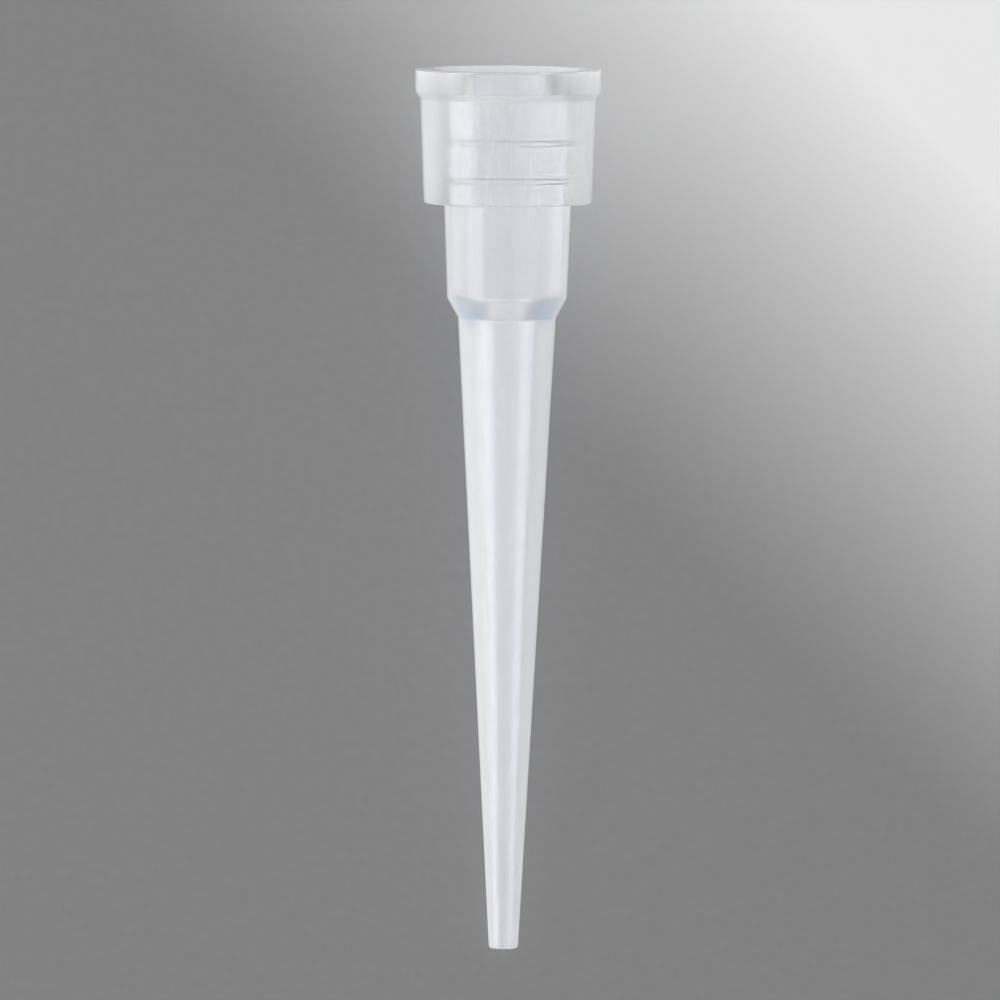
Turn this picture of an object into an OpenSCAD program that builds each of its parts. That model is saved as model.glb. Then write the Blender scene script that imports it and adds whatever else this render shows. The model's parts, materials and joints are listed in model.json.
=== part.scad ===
// Short fine pipette tip, moulded as one hollow piece. From the mouth down it has a rimmed
// collar, a ribbed socket that takes the pipette's cone, a thin neck, a sloping shoulder and
// a long fine cone with an open end. It lies on its side, on the lower edge of its collar and
// the edge of its point, with the mouth towards +Y and the ground at z = 0.

/* [Length] */
// Length from the rim's face to the open end of the point
total_len = 31.5; // [28:0.5:38]

/* [Rim and collar] */
// Outside diameter of the rim
rim_d = 6.64; // [6.5:0.02:8]
// Height of the rim's straight band
rim_h = 0.82; // [0.6:0.02:1.2]
// Height of the slope under the rim
rim_slope_h = 0.25; // [0.2:0.01:0.35]
// Outside diameter of the collar just below the rim
collar_top_d = 6.28; // [5.6:0.02:6.3]
// Outside diameter of the collar at its lower end
collar_end_d = 6.0; // [5:0.02:6.2]
// Depth of the collar's lower end below the rim's face
collar_len = 4.8; // [4:0.1:6]

/* [Neck] */
// Length of the neck below the collar
neck_len = 3.4; // [2.6:0.1:5]
// Outside diameter of the neck at the collar
neck_top_d = 4.54; // [3.8:0.02:5]
// Outside diameter of the neck at its lower end
neck_end_d = 4.28; // [3.8:0.02:4.6]
// Wall of the neck at the collar
neck_top_wall = 0.27; // [0.2:0.01:0.35]
// Wall of the neck at its lower end
neck_end_wall = 0.2; // [0.16:0.01:0.3]

/* [Shoulder and cone] */
// Length of the sloping shoulder between the neck and the cone
shoulder_len = 0.7; // [0.5:0.05:1.2]
// Outside diameter of the cone below the shoulder
cone_top_d = 3.5; // [2.8:0.02:3.6]
// Outside diameter of the cone at its open end
cone_end_d = 1.04; // [0.86:0.01:1.4]

/* [Socket] */
// Diameter of the mouth at the rim's face
mouth_d = 5.4; // [4.8:0.05:6]
// Depth of the tapered lead-in below the rim's face
mouth_depth = 0.9; // [0.6:0.05:1.2]
// Bore across the sealing ribs, which grip the pipette's cone
seal_d = 4.0; // [3.3:0.02:4.8]
// How far each sealing rib stands in from the socket's wall
rib_h = 0.1; // [0.06:0.01:0.12]
// Height of the flat crest of each sealing rib
rib_crest_h = 0.05; // [0.04:0.01:0.2]
// Radius of the rounded flanks of each sealing rib
rib_flank_r = 0.12; // [0.12:0.01:0.2]
// Number of sealing ribs
rib_count = 2; // [1:1:3]
// Depth of the first sealing rib below the lead-in
first_rib_drop = 1.65; // [1:0.05:1.8]
// Height of the last sealing rib above the socket's lower end
last_rib_rise = 0.3; // [0.3:0.05:0.6]
// Draft of the socket's wall in degrees
socket_draft = 0.5; // [0.2:0.1:1]
// Height above the collar's lower end at which the socket narrows to the neck's bore
socket_floor_h = 0.6; // [0.4:0.05:0.8]

/* [Bore of the cone] */
// Height of the funnel's upper end above the neck's lower end
funnel_rise = 0.1; // [0:0.05:0.4]
// Depth of the funnel's lower end below the top of the cone
funnel_drop = 0; // [0:0.05:0.5]
// Bore at the top of the cone
cone_bore_d = 2.02; // [1.6:0.02:2.4]
// Bore where the cone's two inner tapers meet
mid_bore_d = 1.29; // [1.06:0.01:1.5]
// Height of that place above the open end
mid_bore_rise = 12.5; // [8:0.5:16]
// Bore at the open end
orifice_d = 0.62; // [0.4:0.01:0.72]

/* [Edges] */
// Radius of the outer edges of the rim and the collar
edge_r = 0.08; // [0.04:0.01:0.1]
// Radius of the mouth's inner edges
mouth_edge_r = 0.06; // [0.03:0.01:0.1]
// Radius of the outer edges of the shoulder
shoulder_r = 0.15; // [0.05:0.01:0.25]
// Radius of the bowl that turns the neck's bore into the funnel
bowl_r = 0.4; // [0.2:0.05:0.9]
// Radius of the funnel's lower edge
funnel_edge_r = 0.1; // [0.1:0.05:0.4]
// Radius of the outer edge of the open end
point_r = 0.12; // [0.06:0.01:0.15]
// Radius of the inner edge of the open end
orifice_r = 0.03; // [0.01:0.01:0.04]

/* [Hidden] */
// Smoothness of the turned surfaces and of the edge arcs
$fn = 96;
// How far a cutting or joining shape runs past the face that it meets
overlap = 0.05;
// How far each edge arc stands proud of its two edges, so that it crosses them cleanly
proud = 0.0005;

// Depths below the rim's face
neck_end = collar_len + neck_len;
cone_start = neck_end + shoulder_len;
funnel_start = neck_end - funnel_rise;
funnel_end = cone_start + funnel_drop;
socket_end = collar_len - socket_floor_h;
first_rib = mouth_depth + first_rib_drop;
last_rib = socket_end - last_rib_rise;
rib_mid = (first_rib + last_rib) / 2;

// Radius of the socket's wall at a depth. The ribs stand in from it by rib_h, midway between them.
function socket_r(depth) = seal_d / 2 + rib_h + (rib_mid - depth) * tan(socket_draft);

// Depth of one of the sealing ribs, spread evenly from the first to the last
function rib_depth(i) = first_rib + (last_rib - first_rib) * i / max(rib_count - 1, 1);

// The wall's section, anticlockwise from the mouth: radius, height above the rim's face, edge radius
MOUTH_EDGE = [mouth_d / 2, 0, mouth_edge_r];
SOCKET_TOP = [socket_r(mouth_depth), -mouth_depth, mouth_edge_r];
SOCKET_END = [socket_r(socket_end), -socket_end, 0];
NECK_BORE_TOP = [neck_top_d / 2 - neck_top_wall, -collar_len, 0];
FUNNEL_TOP = [neck_end_d / 2 - neck_end_wall, -funnel_start, bowl_r];
FUNNEL_END = [cone_bore_d / 2, -funnel_end, funnel_edge_r];
BORE_MIDDLE = [mid_bore_d / 2, -total_len + mid_bore_rise, 0];
ORIFICE_EDGE = [orifice_d / 2, -total_len, orifice_r];
POINT_EDGE = [cone_end_d / 2, -total_len, point_r];
CONE_TOP = [cone_top_d / 2, -cone_start, shoulder_r];
NECK_END = [neck_end_d / 2, -neck_end, shoulder_r];
NECK_TOP = [neck_top_d / 2, -collar_len, edge_r];
COLLAR_END = [collar_end_d / 2, -collar_len, edge_r];
COLLAR_TOP = [collar_top_d / 2, -rim_h - rim_slope_h, edge_r];
RIM_BOTTOM = [rim_d / 2, -rim_h, edge_r];
RIM_TOP = [rim_d / 2, 0, edge_r];
SECTION = [
    MOUTH_EDGE, SOCKET_TOP, SOCKET_END, NECK_BORE_TOP, FUNNEL_TOP, FUNNEL_END, BORE_MIDDLE,
    ORIFICE_EDGE, POINT_EDGE, CONE_TOP, NECK_END, NECK_TOP, COLLAR_END, COLLAR_TOP,
    RIM_BOTTOM, RIM_TOP
];

// The place of an outline point, without its edge radius
function place(point) = [point.x, point.y];

// Unit vector from one outline point towards another
function towards(from, to) = (place(to) - place(from)) / norm(place(to) - place(from));

// Unit vector that halves the angle at an outline point
function halving(before, point, after) =
    let (sum = towards(point, before) + towards(point, after))
    sum / norm(sum);

// Half the angle between the two edges that meet at an outline point
function half_angle(before, point, after) =
    acos(towards(point, before) * towards(point, after)) / 2;

// Centre of the arc that rounds an outline point
function arc_centre(before, point, after) =
    let (depth = (point.z - proud) / sin(half_angle(before, point, after)))
    place(point) + halving(before, point, after) * depth;

// Where that arc's centre lies beside the edge that leads to a neighbouring point
function arc_foot(point, neighbour, half) =
    place(point) + towards(point, neighbour) * (point.z - proud) / tan(half);

// Is the wall's material inside the angle at this point of an anticlockwise outline?
function stands_out(before, point, after) = cross(towards(before, point), towards(point, after)) > 0;

// The corner between two edges and the arc that rounds it, run a little past the outline point
module corner_web(before, point, after) {
    half = half_angle(before, point, after);
    centre = arc_centre(before, point, after);
    difference() {
        polygon([
            place(point) - overlap * halving(before, point, after),
            arc_foot(point, before, half),
            centre,
            arc_foot(point, after, half)
        ]);
        translate(centre)
            circle(point.z);
    }
}

// Corner webs of an outline: those that stand out or those that lie in
module corner_webs(outline, outward) {
    count = len(outline);
    for (i = [0 : count - 1]) {
        before = outline[(i + count - 1) % count];
        after = outline[(i + 1) % count];
        if (outline[i].z > 0 && stands_out(before, outline[i], after) == outward)
            corner_web(before, outline[i], after);
    }
}

// A closed outline with an arc at each point that has an edge radius
module rounded_outline(outline) {
    difference() {
        union() {
            polygon([for (point = outline) place(point)]);
            corner_webs(outline, false);
        }
        corner_webs(outline, true);
    }
}

// Section of one sealing rib: a round bead with a flat crest, rooted in the socket's wall
module rib_section(depth) {
    crest_to_centre = sqrt(pow(rib_flank_r, 2) - pow(rib_crest_h / 2, 2));
    root_r = socket_r(depth) + overlap;
    intersection() {
        translate([seal_d / 2 + crest_to_centre, -depth])
            circle(rib_flank_r);
        translate([seal_d / 2, -depth - rib_flank_r])
            square([root_r - seal_d / 2, 2 * rib_flank_r]);
    }
}

// Section of the whole wall, with the axis at x = 0 and the rim's face at y = 0
module wall_section() {
    rounded_outline(SECTION);
    for (i = [0 : rib_count - 1])
        rib_section(rib_depth(i));
}

// Centres and radii of the rounded edges that the tip can lie on or that end it
POINT_ARC = arc_centre(CONE_TOP, POINT_EDGE, ORIFICE_EDGE);
COLLAR_ARC = arc_centre(COLLAR_TOP, COLLAR_END, NECK_TOP);
RIM_LOW_ARC = arc_centre(RIM_TOP, RIM_BOTTOM, COLLAR_TOP);
RIM_TOP_ARC = arc_centre(MOUTH_EDGE, RIM_TOP, RIM_BOTTOM);

// Angle to the ground of a tip that lies on its point and on one edge of its collar or rim
function lying_angle(edge_arc) =
    let (gap = edge_arc - POINT_ARC)
    atan2(gap.x, gap.y) + asin((edge_r - point_r) / norm(gap));

// The tip lies on whichever edge lifts it more
rest_angle = max(lying_angle(COLLAR_ARC), lying_angle(RIM_LOW_ARC));

// Height of the rim's centre above the ground, and the tip's two ends along Y
rim_height = POINT_ARC.x * cos(rest_angle) - POINT_ARC.y * sin(rest_angle) + point_r;
mouth_end_y = RIM_TOP_ARC.y * cos(rest_angle) + RIM_TOP_ARC.x * sin(rest_angle) + edge_r;
point_end_y = POINT_ARC.y * cos(rest_angle) - POINT_ARC.x * sin(rest_angle) - point_r;

// Lays what stands along Z, mouth up, down on the ground with the middle of its length at y = 0
module laid_down() {
    translate([0, -(mouth_end_y + point_end_y) / 2, rim_height])
        rotate([rest_angle - 90, 0, 0])
            children();
}

// The whole tip, turned from its section
module pipette_tip() {
    color([0.86, 0.88, 0.91, 0.8])
        laid_down()
            rotate_extrude()
                wall_section();
}

pipette_tip();
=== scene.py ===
"""Looks for a short fine pipette tip that lies on a pale floor, seen from above, mouth at the top."""

import json
import logging
import math
from collections.abc import Iterable
from dataclasses import dataclass, field
from enum import Enum

import bpy
from mathutils import Matrix, Vector


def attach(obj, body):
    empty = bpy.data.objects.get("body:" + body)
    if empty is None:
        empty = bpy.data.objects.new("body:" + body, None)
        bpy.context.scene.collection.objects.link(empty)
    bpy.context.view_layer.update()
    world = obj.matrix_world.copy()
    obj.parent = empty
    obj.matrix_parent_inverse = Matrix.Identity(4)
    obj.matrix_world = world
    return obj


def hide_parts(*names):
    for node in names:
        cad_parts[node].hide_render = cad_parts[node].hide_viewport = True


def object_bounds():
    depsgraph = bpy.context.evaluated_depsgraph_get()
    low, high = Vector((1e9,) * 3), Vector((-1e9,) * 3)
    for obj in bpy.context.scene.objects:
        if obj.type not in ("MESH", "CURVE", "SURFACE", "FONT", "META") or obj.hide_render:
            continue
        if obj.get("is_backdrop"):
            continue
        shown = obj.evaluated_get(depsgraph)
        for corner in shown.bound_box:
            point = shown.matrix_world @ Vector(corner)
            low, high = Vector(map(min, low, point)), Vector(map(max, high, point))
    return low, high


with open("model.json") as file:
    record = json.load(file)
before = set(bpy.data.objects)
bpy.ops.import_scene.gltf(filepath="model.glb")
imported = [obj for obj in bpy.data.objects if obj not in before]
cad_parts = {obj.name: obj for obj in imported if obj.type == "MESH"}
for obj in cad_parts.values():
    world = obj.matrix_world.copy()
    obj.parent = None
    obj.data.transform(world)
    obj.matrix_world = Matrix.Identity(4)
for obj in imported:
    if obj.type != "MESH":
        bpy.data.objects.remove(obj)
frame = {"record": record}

LOG = logging.getLogger("pipette_tip")
MM = 0.001

Colour = tuple[float, float, float, float]
Triple = tuple[float, float, float]
Span = tuple[float, float]


# ---------------------------------------------------------------- shader tools


class Blend(Enum):
    """Ways in which two colours are mixed."""

    MIX = "MIX"
    MULTIPLY = "MULTIPLY"


class Signal:
    """A number that varies over a surface: one output socket, with Python's own arithmetic."""

    def __init__(self, graph: "Graph", socket: bpy.types.NodeSocket) -> None:
        """Wrap an output socket of a node in a graph."""
        self.graph = graph
        self.socket = socket

    def _with(self, operation: str, *others: "Signal | float", first: bool = True) -> "Signal":
        """Add a Math node on this signal and others: a reflected form puts this signal last."""
        values = [self, *others] if first else [*others, self]
        return self.graph.node("ShaderNodeMath", {"operation": operation}, dict(enumerate(values)))

    def __add__(self, other: "Signal | float") -> "Signal":
        """Sum."""
        return self._with("ADD", other)

    __radd__ = __add__

    def __sub__(self, other: "Signal | float") -> "Signal":
        """Difference."""
        return self._with("SUBTRACT", other)

    def __rsub__(self, other: float) -> "Signal":
        """Difference with this signal taken away."""
        return self._with("SUBTRACT", other, first=False)

    def __mul__(self, other: "Signal | float") -> "Signal":
        """Product."""
        return self._with("MULTIPLY", other)

    __rmul__ = __mul__

    def __pow__(self, other: float) -> "Signal":
        """Power."""
        return self._with("POWER", other)

    def __abs__(self) -> "Signal":
        """Size without the sign."""
        return self._with("ABSOLUTE")

    def ramp(self, low: float, high: float, to_low: float = 0.0, to_high: float = 1.0) -> "Signal":
        """Map the range from low to high smoothly to another, and hold its ends."""
        values = {0: self, 1: low, 2: high, 3: to_low, 4: to_high}
        return self.graph.node("ShaderNodeMapRange", {"interpolation_type": "SMOOTHSTEP"}, values)

    def slope(self, low: float, high: float) -> "Signal":
        """Map the range from low to high evenly to 0 to 1, and hold its ends."""
        values = {0: self, 1: low, 2: high}
        return self.graph.node("ShaderNodeMapRange", {"interpolation_type": "LINEAR"}, values)


class Graph:
    """A material's node tree, built one node at a time."""

    def __init__(self, name: str) -> None:
        """Make an empty material with its output node.

        Args:
            name: The material's name.
        """
        self.material = bpy.data.materials.new(name)
        self.material.use_nodes = True
        self.tree = self.material.node_tree
        self.tree.nodes.clear()
        self.output = self.tree.nodes.new("ShaderNodeOutputMaterial")

    def node(
        self,
        kind: str,
        settings: dict[str, object] | None = None,
        values: dict[int | str, object] | None = None,
        result: int | str = 0,
    ) -> Signal:
        """Add a node.

        Args:
            kind: The node's type.
            settings: Its own settings, such as an operation.
            values: What goes in its input sockets: a signal to link, or a plain value.
            result: Which output is wanted.

        Returns:
            That output, as a signal.
        """
        made = self.tree.nodes.new(kind)
        for name, value in (settings or {}).items():
            setattr(made, name, value)
        for key, value in (values or {}).items():
            if isinstance(value, Signal):
                self.tree.links.new(value.socket, made.inputs[key])
            else:
                made.inputs[key].default_value = value
        return Signal(self, made.outputs[result])

    def place(self) -> Signal:
        """Return the point's place in the piece's own frame, in metres."""
        return self.node("ShaderNodeTexCoord", result="Object")

    def dot(self, one: Signal, way: Vector | Triple) -> Signal:
        """Return the dot product of a signal and a fixed direction."""
        settings = {"operation": "DOT_PRODUCT"}
        return self.node("ShaderNodeVectorMath", settings, {0: one, 1: way}, result="Value")

    def mix(
        self, share: Signal | float, low: Signal | Colour, high: Signal | Colour, how: Blend = Blend.MIX
    ) -> Signal:
        """Mix two colours, with this share of the second."""
        settings = {"data_type": "RGBA", "blend_type": how.value}
        return self.node("ShaderNodeMix", settings, {0: share, 6: low, 7: high}, result=2)

    def blend(self, share: Signal, low: Signal, high: Signal) -> Signal:
        """Mix two shaders, with this share of the second."""
        return self.node("ShaderNodeMixShader", {}, {0: share, 1: low, 2: high})

    def noise(self, place: Signal, scale: float, detail: float = 2.0) -> Signal:
        """Return noise from 0 to 1, with so many features to a metre and so many finer layers."""
        values = {"Vector": place, "Scale": scale, "Detail": detail}
        return self.node("ShaderNodeTexNoise", {}, values)

    def bump(self, height: Signal, strength: float, distance: float) -> Signal:
        """Return a surface's direction, turned by relief from 0 to 1 whose full height is distance."""
        values = {"Strength": strength, "Distance": distance, "Height": height}
        return self.node("ShaderNodeBump", {}, values)

    def ray(self, kind: str) -> Signal:
        """Return 1 on rays of one kind and 0 on the rest."""
        return self.node("ShaderNodeLightPath", result=kind)

    def finish(self, surface: Signal) -> bpy.types.Material:
        """Link the surface to the output and return the material."""
        self.tree.links.new(surface.socket, self.output.inputs["Surface"])
        return self.material


# -------------------------------------------------------------------- finishes


@dataclass(frozen=True)
class NaturalPlastic:
    """Undyed polypropylene: clear enough to show the bore face on, and milky where it is seen edge on.

    It is also milky in the thick walls of the rim, the collar and the cone, but clearer on the rim's
    own face. In the thick ring between the neck and the cone it carries a painted bluish shade where
    that ring is seen at a slant. The collar has fine lines and pale streaks along its length, which
    grow fainter below it. Depths are metres below the rim's face. A tilt is 0 where the surface faces
    the eye and 1 where it is seen edge on.
    """

    # Colours
    tint: Colour = (0.955, 0.963, 0.998, 1.0)
    cloud: Colour = (0.925, 0.934, 0.97, 1.0)
    # A painted bluish shade, not a colour of the plastic, laid on the thick ring where it is seen at a
    # slant
    ring_painted_shade: Colour = (0.76, 0.83, 1.0, 1.0)
    milk_tint: Colour = (0.95, 0.95, 0.995, 1.0)
    passed: Colour = (0.97, 0.97, 0.97, 1.0)
    # Depths
    collar_end: Span = (0.0047, 0.0053)
    milk_depths: Span = (0.0040, 0.0095)
    cone_depths: Span = (0.00855, 0.00955)
    ring_middle: float = 0.00855
    ring_edge: Span = (0.0003, 0.0005)
    # Tilts
    edge_tilts: Span = (0.12, 0.85)
    wall_tilts: Span = (0.07, 0.22)
    # Tilts over which the ring's painted bluish shade grows and then wanes
    ring_shade_grows: Span = (0.15, 0.3)
    ring_shade_wanes: Span = (0.55, 0.75)
    # How far a surface faces out of the mouth, while its milk clears
    face_turns: Span = (0.3, 0.5)
    # Shares of milk
    cone_milk: float = 0.18
    ring_milk: float = 0.32
    flow_milk: float = 0.08
    wall_milk: float = 0.6
    rim_wall: float = 0.75
    face_milk: float = 0.15
    # Patterns: scales are features to a metre, and spans the part of the noise that tells
    haze_scale: float = 260.0
    haze_detail: float = 3.0
    haze_span: Span = (0.35, 0.65)
    gloss_span: Span = (0.3, 0.7)
    line_scale: float = 900.0
    flow_scale: float = 320.0
    flow_span: Span = (0.5, 0.7)
    line_stretch: Triple = (9.0, 0.35, 9.0)
    line_strength: float = 0.3
    line_height: float = 0.00002
    below_collar: float = 0.3
    # The plastic itself
    clearness: float = 0.78
    edge_clearness: float = 0.1
    refraction: float = 1.49
    scatter_reach: float = 0.0008
    scatter_shares: Triple = (1.0, 1.0, 1.0)
    roughness: Span = (0.06, 0.11)

    def body(self, graph: Graph, clearness: float, looks: dict[str, Signal]) -> Signal:
        """Add the plastic's shader at one clearness.

        Args:
            graph: The material's graph.
            clearness: The share of light that goes straight through one surface.
            looks: The sockets that vary over the surface.

        Returns:
            The shader.
        """
        values = {
            **looks,
            "IOR": self.refraction,
            "Transmission Weight": clearness,
            "Subsurface Weight": 1.0,
            "Subsurface Radius": self.scatter_shares,
            "Subsurface Scale": self.scatter_reach,
        }
        return graph.node("ShaderNodeBsdfPrincipled", {"subsurface_method": "RANDOM_WALK"}, values)

    def milk(
        self, graph: Graph, out: Vector, depth: Signal, tilt: Signal, streaks: Signal, ring: Signal
    ) -> Signal:
        """Work out how milky the plastic is.

        Args:
            graph: The material's graph.
            out: The direction of the tip's axis, out of the mouth.
            depth: The depth below the rim's face.
            tilt: How far the surface turns from the eye.
            streaks: The streaks in the collar, from 0 to 1.
            ring: 1 in the thick ring between the neck and the cone, and 0 elsewhere.

        Returns:
            The share of milk on an outer surface.
        """
        edge_on = tilt.ramp(*self.edge_tilts)
        inner = depth.slope(*self.milk_depths) * self.cone_milk
        inner = inner + ring * self.ring_milk + streaks * self.flow_milk
        thick = depth.ramp(0.0, self.collar_end[0], self.rim_wall, 0.0)
        thick = thick + depth.ramp(*self.cone_depths)
        inner = inner + tilt.ramp(*self.wall_tilts) * thick * self.wall_milk
        turned = graph.dot(graph.node("ShaderNodeNewGeometry", result="Normal"), out)
        clearing = turned.ramp(*self.face_turns, 1.0, self.face_milk)
        return (edge_on + inner * (1.0 - edge_on)) * clearing

    def material(self, rim: Vector, out: Vector) -> bpy.types.Material:
        """Build the finish.

        Args:
            rim: The middle of the rim's face.
            out: The direction of the tip's axis, out of the mouth.

        Returns:
            The material.
        """
        graph = Graph("natural_polypropylene")
        place = graph.place()
        haze = graph.noise(place, self.haze_scale, self.haze_detail)
        drawn = graph.node("ShaderNodeMapping", {}, {"Vector": place, "Scale": self.line_stretch})
        tilt = graph.node("ShaderNodeLayerWeight", result="Facing")
        outside = 1.0 - graph.node("ShaderNodeNewGeometry", result="Backfacing")
        depth = rim.dot(out) - graph.dot(place, out)
        lively = depth.ramp(*self.collar_end, 1.0, self.below_collar)
        ring = 1.0 - abs(depth - self.ring_middle).ramp(*self.ring_edge)
        # Painted bluish shade: on the thick ring, only where it is seen at a slant, and only on front
        # faces
        painted_blue_shade = ring * (tilt.ramp(*self.ring_shade_grows) - tilt.ramp(*self.ring_shade_wanes)) * outside
        plain = graph.mix(haze.ramp(*self.haze_span), self.tint, self.cloud)
        colour = graph.mix(painted_blue_shade, plain, self.ring_painted_shade)
        lines = graph.noise(drawn, self.line_scale) * lively
        looks = {
            "Base Color": colour,
            "Roughness": haze.ramp(*self.gloss_span, *self.roughness),
            "Normal": graph.bump(lines, self.line_strength, self.line_height),
        }
        milky_colour = graph.mix(1.0, colour, self.milk_tint, Blend.MULTIPLY)
        streaks = graph.noise(drawn, self.flow_scale).ramp(*self.flow_span) * lively
        surface = graph.blend(
            self.milk(graph, out, depth, tilt, streaks, ring) * outside,
            self.body(graph, self.clearness, looks),
            self.body(graph, self.edge_clearness, {**looks, "Base Color": milky_colour}),
        )
        passing = graph.node("ShaderNodeBsdfTransparent", {}, {"Color": self.passed})
        return graph.finish(graph.blend(graph.ray("Is Shadow Ray"), surface, passing))


@dataclass(frozen=True)
class StudioPaper:
    """Matt paper with a painted light gradient: darker towards the tip's point and paler beyond its
    mouth.

    The eye sees that painted tone, and the paper lights the tip as an even, paler paper would.
    """

    # The dark and pale ends of the painted light gradient
    near: Colour = (0.235, 0.235, 0.235, 1.0)
    far: Colour = (0.89, 0.89, 0.89, 1.0)
    bounce: Colour = (0.8, 0.8, 0.8, 1.0)
    grain_tint: Colour = (0.7, 0.7, 0.7, 1.0)
    # Which way the painted light grows paler, and where that starts and ends, in metres
    painted_light_way: Triple = (0.7023, 0.7123, 0.0)
    painted_light_reach: Span = (0.00305, 0.02023)
    painted_light_power: float = 1.4
    # The paper's grain: features to a metre, and its height in metres
    grain_scale: float = 3000.0
    grain_span: Span = (0.3, 0.7)
    grain_share: float = 0.02
    grain_strength: float = 0.05
    grain_height: float = 0.00002
    roughness: float = 0.85

    def material(self) -> bpy.types.Material:
        """Build the finish.

        Returns:
            The material.
        """
        graph = Graph("studio_paper")
        place = graph.place()
        # Painted light: the tone runs from dark near the tip's point to pale beyond its mouth
        share = graph.dot(place, self.painted_light_way).slope(*self.painted_light_reach) ** self.painted_light_power
        grain = graph.noise(place, self.grain_scale)
        tone = graph.mix(share, self.near, self.far)
        colour = graph.mix(grain.ramp(*self.grain_span, 0.0, self.grain_share), tone, self.grain_tint)
        seen = graph.ray("Is Camera Ray") + graph.ray("Is Glossy Ray")
        seen = seen + graph.ray("Is Transmission Ray")
        values = {
            "Base Color": graph.mix(seen.ramp(0.0, 1.0), self.bounce, colour),
            "Roughness": self.roughness,
            "Normal": graph.bump(grain, self.grain_strength, self.grain_height),
        }
        return graph.finish(graph.node("ShaderNodeBsdfPrincipled", {}, values))


# ------------------------------------------------------------------ modelling


@dataclass(frozen=True)
class Corner:
    """A corner of the wall's section, in millimetres from the axis and below the rim's face."""

    radius: float
    depth: float
    rounding: float = 0.0
    segments: int = 5

    def place(self) -> Vector:
        """Return the corner's radius and depth as a vector."""
        return Vector((self.radius, self.depth))

    def towards(self, other: "Corner") -> Vector:
        """Return the direction from this corner to another."""
        return (other.place() - self.place()).normalized()


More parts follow.
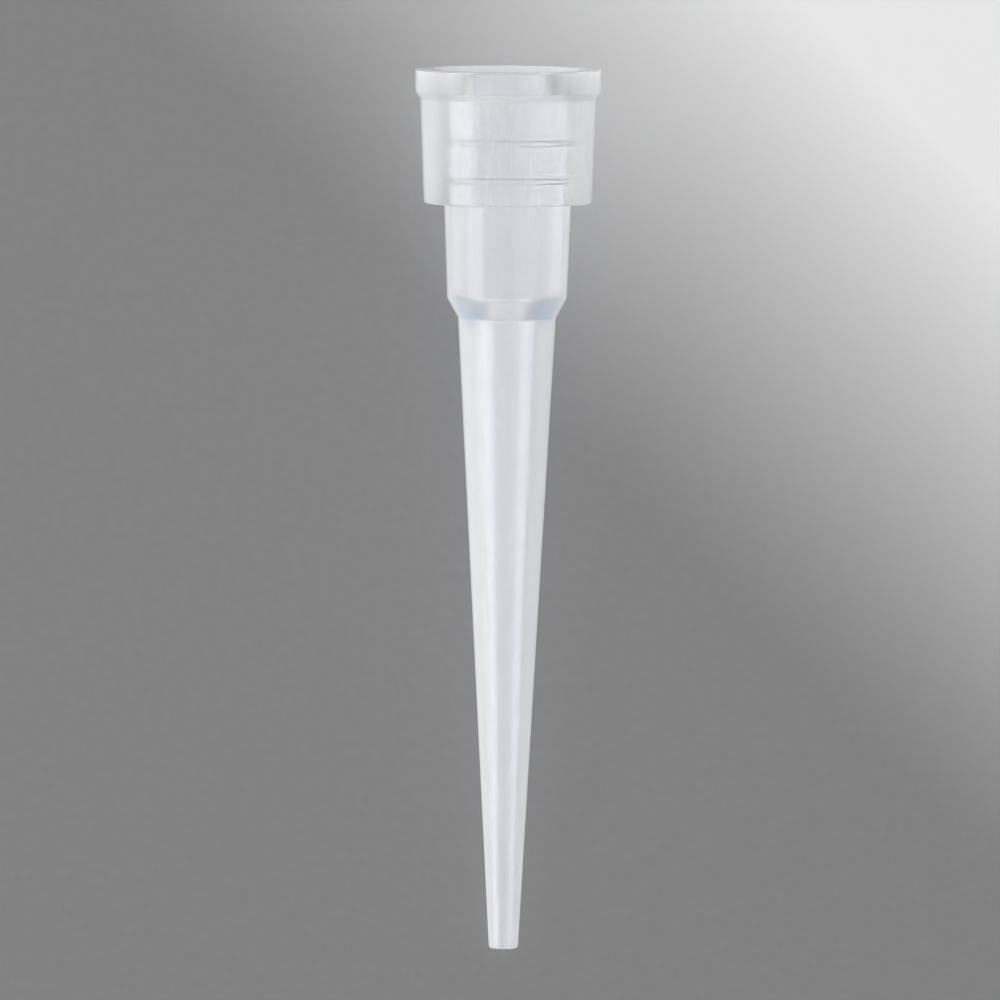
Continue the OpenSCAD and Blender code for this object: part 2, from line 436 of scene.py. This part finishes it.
@dataclass
class Tip:
    """The whole moulding, turned ring by ring: down its outside from the rim, and back up its inside.

    Sizes are in millimetres, and angles in degrees.
    """

    name: str = "milky_tip"
    node: str = "pipette_tip"
    slot: str = "tip_plastic"
    sides: int = 192
    bore_centre_depth: float = 3.225
    outside: tuple[Corner, ...] = (
        Corner(3.32, 0.0, 0.08),
        Corner(3.32, 0.82, 0.08),
        Corner(3.14, 1.07, 0.08),
        Corner(3.0, 4.8, 0.08),
        Corner(2.27, 4.8, 0.08),
        Corner(2.14, 8.2, 0.15),
        Corner(1.75, 8.9, 0.15),
        Corner(0.52, 31.5, 0.12),
    )
    inside: tuple[Corner, ...] = (
        Corner(0.31, 31.5, 0.03),
        Corner(0.645, 19.0),
        Corner(1.01, 8.9, 0.1),
        Corner(1.94, 8.1, 0.4, 8),
        Corner(2.0, 4.8),
        Corner(2.0915, 4.2),
    )
    rib_depths: tuple[float, ...] = (3.90, 2.55)
    rib_radius: float = 2.0
    rib_crest: float = 0.05
    rib_flank: float = 0.12
    rib_steps: int = 5
    socket_radius: float = 2.1
    socket_draft: float = 0.5
    lead_in: tuple[Corner, ...] = (Corner(2.1203, 0.9, 0.06), Corner(2.7, 0.0, 0.06))
    crease: float = 35.0
    # How close a point lies to its ring, and how close two points lie that are one, in metres
    near: float = 2e-6
    same: float = 1e-7
    finish: NaturalPlastic = field(default_factory=NaturalPlastic)

    def rib(self, depth: float) -> tuple[Corner, ...]:
        """Return a sealing rib's section, from its lower root to its upper one.

        Args:
            depth: How far the rib's middle is below the rim's face.

        Returns:
            Its corners, in order.
        """
        draft = math.tan(math.radians(self.socket_draft))
        wall = self.socket_radius + (self.bore_centre_depth - depth) * draft
        crest = self.rib_crest / 2
        centre = self.rib_radius + math.sqrt(self.rib_flank**2 - crest**2)
        start = math.asin(crest / self.rib_flank)
        end = math.acos((centre - wall) / self.rib_flank)
        flank = [start + (end - start) * i / self.rib_steps for i in range(self.rib_steps + 1)]
        return tuple(
            Corner(centre - self.rib_flank * math.cos(a), depth + way * self.rib_flank * math.sin(a))
            for way, angles in ((1, reversed(flank)), (-1, flank))
            for a in angles
        )

    def section(self) -> list[Corner]:
        """Return the wall's whole section, from the rim's outer edge round to the mouth's."""
        ribs = [corner for depth in self.rib_depths for corner in self.rib(depth)]
        return [*self.outside, *self.inside, *ribs, *self.lead_in]

    def turn(self) -> bpy.types.Object:
        """Turn the wall from one ring, with its axis along Z and the rim's face at z = 0.

        Returns:
            The wall, in edit mode, with sharp corners.
        """
        section = self.section()
        bpy.ops.object.select_all(action="DESELECT")
        bpy.ops.mesh.primitive_circle_add(
            vertices=self.sides, radius=section[0].radius * MM, fill_type="NOTHING", location=(0, 0, 0)
        )
        wall = bpy.context.object
        wall.name = wall.data.name = self.name
        bpy.ops.object.mode_set(mode="EDIT")
        bpy.ops.mesh.select_mode(type="EDGE")
        bpy.ops.mesh.select_all(action="SELECT")
        for before, after in zip(section, section[1:]):
            drop = (before.depth - after.depth) * MM
            grow = after.radius / before.radius
            bpy.ops.mesh.extrude_edges_move(TRANSFORM_OT_translate={"value": (0, 0, drop)})
            ring_centre = (0, 0, -after.depth * MM)
            bpy.ops.transform.resize(value=(grow, grow, 1), center_override=ring_centre)
        self.select_rings(wall, [section[0], section[-1]])
        bpy.ops.mesh.bridge_edge_loops()
        return wall

    def select_rings(self, wall: bpy.types.Object, corners: list[Corner]) -> None:
        """Select the rings of edges that lie at some corners of the section.

        Args:
            wall: The wall, in edit mode.
            corners: The corners.
        """
        bpy.ops.mesh.select_all(action="DESELECT")
        bpy.ops.object.mode_set(mode="OBJECT")
        spots = [Vector((v.co.xy.length, v.co.z)) for v in wall.data.vertices]
        for corner in corners:
            place = Vector((corner.radius, -corner.depth)) * MM
            on_ring = [(spot - place).length < self.near for spot in spots]
            for edge in wall.data.edges:
                edge.select |= all(on_ring[end] for end in edge.vertices)
        bpy.ops.object.mode_set(mode="EDIT")

    def round_corners(self, wall: bpy.types.Object) -> None:
        """Round each corner of the section by its own radius.

        Args:
            wall: The wall, in edit mode, with sharp corners.
        """
        section = self.section()
        for before, corner, after in zip([section[-1], *section], section, [*section[1:], section[0]]):
            if not corner.rounding:
                continue
            cosine = corner.towards(before).dot(corner.towards(after))
            half = math.acos(max(-1.0, min(1.0, cosine))) / 2
            self.select_rings(wall, [corner])
            bpy.ops.mesh.bevel(
                offset_type="OFFSET",
                offset=corner.rounding / math.tan(half) * MM,
                segments=corner.segments,
                profile=0.5,
                affect="EDGES",
                clamp_overlap=True,
            )

    def stance(self) -> tuple[Vector, Vector]:
        """Find how the tip lies, from the record's socket.

        Returns:
            The middle of the rim's face, and the direction out of the mouth.
        """
        socket = next(m for m in frame["record"]["mounts"] if m["name"] == "socket")
        out = Vector(socket["axis"]).normalized()
        return Vector(socket["pos_m"]) + out * self.bore_centre_depth * MM, out

    def lay_down(self, wall: bpy.types.Object, rim: Vector, out: Vector) -> None:
        """Lay the wall down, with its place in its mesh.

        Args:
            wall: The wall, in object mode, with its axis along Z.
            rim: The middle of the rim's face.
            out: The direction of the tip's axis, out of the mouth.
        """
        turn = Vector((0, 0, 1)).rotation_difference(out).to_matrix().to_4x4()
        wall.matrix_world = Matrix.Translation(rim) @ turn
        bpy.ops.object.select_all(action="DESELECT")
        wall.select_set(True)
        bpy.context.view_layer.objects.active = wall
        bpy.ops.object.transform_apply(location=True, rotation=True, scale=True)

    def build(self) -> None:
        """Model the tip, dress it and put it on its CAD node's body."""
        rim, out = self.stance()
        wall = self.turn()
        self.round_corners(wall)
        bpy.ops.mesh.select_all(action="SELECT")
        bpy.ops.mesh.remove_doubles(threshold=self.same)
        bpy.ops.mesh.normals_make_consistent(inside=False)
        bpy.ops.object.mode_set(mode="OBJECT")
        bpy.ops.object.shade_smooth_by_angle(angle=math.radians(self.crease))
        self.lay_down(wall, rim, out)
        weigh = wall.modifiers.new("even_shading", "WEIGHTED_NORMAL")
        weigh.keep_sharp = True
        bpy.ops.object.modifier_apply(modifier=weigh.name)
        wall.data.materials.clear()
        wall.data.materials.append(self.finish.material(rim, out))
        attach(wall, "root")
        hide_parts(self.node)
        LOG.info("%s: %d faces", wall.name, len(wall.data.polygons))


# ---------------------------------------------------------------------- studio


@dataclass(frozen=True)
class SoftBox:
    """A rectangular soft light that faces the tip: where it hangs, its size and how bright its face is.

    The bearing is in degrees from +X towards +Y, and the height in degrees above the floor. The
    distance and the sides are in metres. A light that isn't reflected lights the tip and shows
    through it, but leaves no glare on it.
    """

    name: str
    bearing: float
    height: float
    distance: float
    long_side: float
    short_side: float
    brightness: float
    reflected: bool = True

    def hang(self) -> None:
        """Hang the light, with its long side level."""
        lamp = bpy.data.lights.new(self.name, "AREA")
        lamp.shape = "RECTANGLE"
        lamp.size = self.long_side
        lamp.size_y = self.short_side
        lamp.energy = self.brightness * math.pi * self.long_side * self.short_side
        bearing, height = math.radians(self.bearing), math.radians(self.height)
        level = math.cos(height)
        way = Vector((level * math.cos(bearing), level * math.sin(bearing), math.sin(height)))
        light = bpy.data.objects.new(self.name, lamp)
        light.visible_glossy = self.reflected
        light.location = way * self.distance
        light.rotation_euler = (-way).to_track_quat("-Z", "Y").to_euler()
        bpy.context.scene.collection.objects.link(light)


@dataclass
class Studio:
    """The floor, the soft light and the camera.

    Lengths are in metres, but for the camera's sensor, which is in millimetres, and angles in degrees.
    """

    floor_side: float = 3.0
    air: float = 0.42
    boxes: tuple[SoftBox, ...] = (
        SoftBox("left_box", 180.0, 24.0, 0.5, 0.8, 0.3, 1.7),
        SoftBox("right_box", 0.0, 55.0, 0.6, 0.8, 0.5, 0.68),
        SoftBox("mouth_box", 90.0, 18.0, 0.6, 0.8, 0.3, 3.65, False),
    )
    camera_height: float = 0.9
    view_width: float = 0.0357
    across: float = -0.00021
    along: float = 0.00015
    roll: float = 0.33
    lean: float = 1.8
    sensor_width: float = 36.0
    clip: Span = (0.01, 10.0)
    paper: StudioPaper = field(default_factory=StudioPaper)

    def lay_floor(self, level: float) -> None:
        """Lay the floor.

        Args:
            level: Its height.
        """
        bpy.ops.object.select_all(action="DESELECT")
        bpy.ops.mesh.primitive_plane_add(size=self.floor_side, location=(0, 0, level))
        floor = bpy.context.object
        floor.name = "floor"
        bpy.ops.object.transform_apply(location=True, rotation=True, scale=True)
        floor.data.materials.append(self.paper.material())
        floor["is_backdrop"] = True
        LOG.info("floor: %.1f m square", self.floor_side)

    def light(self) -> None:
        """Hang the soft boxes and light the air evenly."""
        for box in self.boxes:
            box.hang()
        world = bpy.data.worlds.new("studio_air")
        world.use_nodes = True
        background = world.node_tree.nodes["Background"]
        background.inputs["Color"].default_value = (1, 1, 1, 1)
        background.inputs["Strength"].default_value = self.air
        bpy.context.scene.world = world

    def point_camera(self, level: float) -> None:
        """Hang the camera over the tip, almost straight above it but a little towards its point.

        Args:
            level: The height of what is in the middle of the view.
        """
        lens = bpy.data.cameras.new("camera")
        lens.sensor_width = self.sensor_width
        lens.lens = self.sensor_width * self.camera_height / self.view_width
        lens.clip_start, lens.clip_end = self.clip
        camera = bpy.data.objects.new("camera", lens)
        camera.rotation_euler = (math.radians(self.lean), 0, math.radians(self.roll))
        back = camera.rotation_euler.to_matrix() @ Vector((0, 0, self.camera_height))
        camera.location = Vector((self.across, self.along, level)) + back
        bpy.context.scene.collection.objects.link(camera)
        bpy.context.scene.camera = camera

    def build(self, low: Vector, high: Vector) -> None:
        """Set up the whole studio around the object.

        Args:
            low: The object's lowest corner.
            high: Its highest corner.
        """
        self.lay_floor(low.z)
        self.light()
        self.point_camera((low.z + high.z) / 2)


def corners(box: Iterable[Iterable[float]]) -> list[list[float]]:
    """Return a box's two corners as plain lists."""
    return [[float(x) for x in corner] for corner in box]


def main() -> None:
    """Build the tip and the studio."""
    logging.basicConfig(level=logging.INFO, format="%(message)s")
    cad_box = corners(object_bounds())
    Tip().build()
    Studio().build(Vector(cad_box[0]), Vector(cad_box[1]))
    bpy.context.scene.view_settings.view_transform = "Standard"
    {"cad": cad_box, "visual": corners(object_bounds())}


if __name__ == "__main__":
    main()
